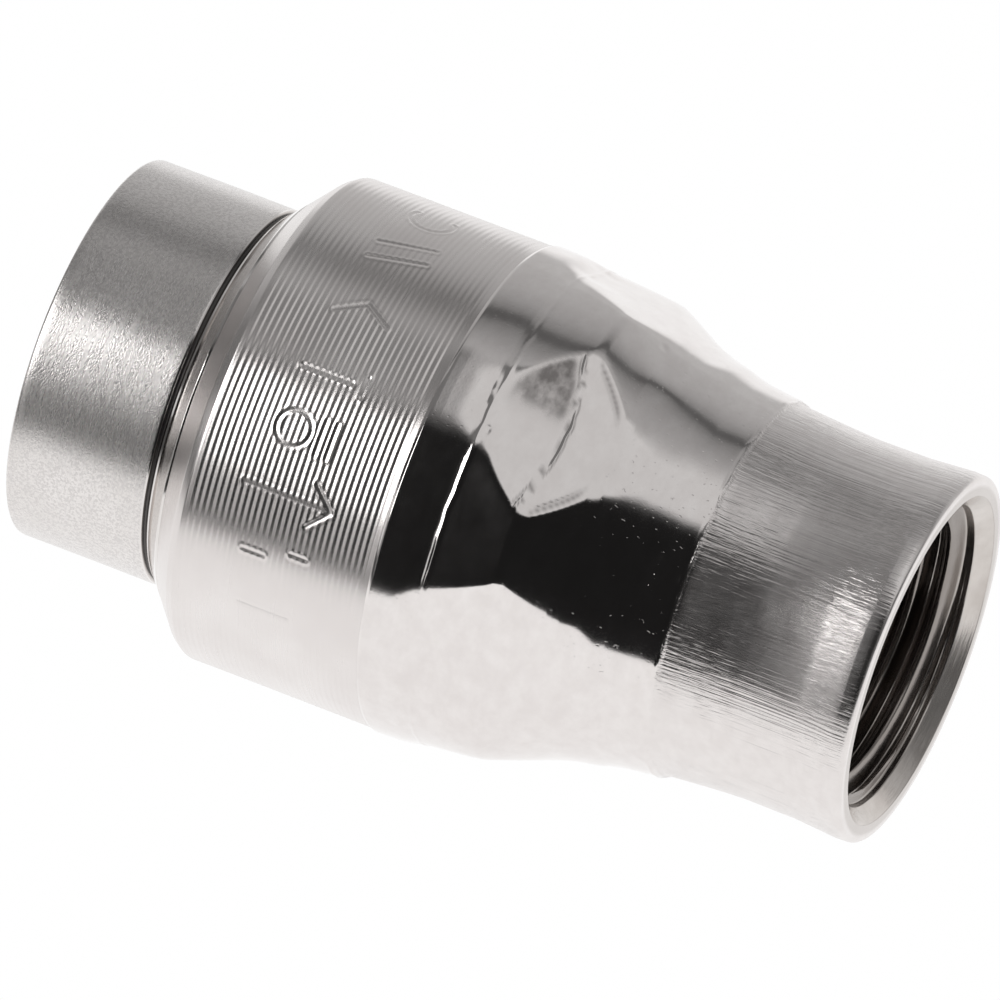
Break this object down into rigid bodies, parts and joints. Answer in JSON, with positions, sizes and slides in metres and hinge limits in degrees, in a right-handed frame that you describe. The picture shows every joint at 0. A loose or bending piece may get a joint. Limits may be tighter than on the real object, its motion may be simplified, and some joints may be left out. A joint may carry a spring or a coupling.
{
  "type": "in-line spring check valve",
  "caption": "In-line spring check valve: round stainless body with a turned ring, cast wrench flats, a female pipe thread at each end and a sprung poppet inside.",
  "frame": {"origin": "centre of the inlet end face, on the valve's axis", "axes": "+Z along the flow, from inlet to outlet; +X and +Y across the axis"},
  "size_m": [0.034, 0.034, 0.06],
  "materials": {
    "polished_cast_steel": "investment-cast stainless steel, polished, turned on the ring and belt-ground at the outlet",
    "satin_steel": "bead-blasted satin stainless steel",
    "turned_steel": "turned stainless steel",
    "cast_guide_steel": "investment-cast stainless steel, matt",
    "spring_steel": "drawn stainless spring steel",
    "bush_plastic": "off-white fluoropolymer, machined",
    "seal_rubber": "black fluoroelastomer, moulded",
    "graphite_gasket": "pressed graphite sheet, matt"
  },
  "bodies": {
    "housing": {"outlet_body": "polished_cast_steel", "inlet_end": "satin_steel", "body_gasket": "graphite_gasket", "outlet_guide": "cast_guide_steel", "guide_bush": "bush_plastic", "guide_snap_ring": "spring_steel", "spring_shim": "turned_steel", "closing_spring": "spring_steel"},
    "poppet": {"poppet_disc": "turned_steel", "stem": "turned_steel", "seat_seal": "seal_rubber", "seal_plate": "turned_steel", "lock_washer": "spring_steel", "clamp_nut": "turned_steel"}
  },
  "joints": [
    {"name": "poppet_slide", "type": "slide", "parent": "housing", "child": "poppet", "axis": [0, 0, 1], "range_m": [0, 0.0048], "stiffness_N_per_m": 200, "springref_m": -0.003, "deforming": ["closing_spring"]}
  ]
}
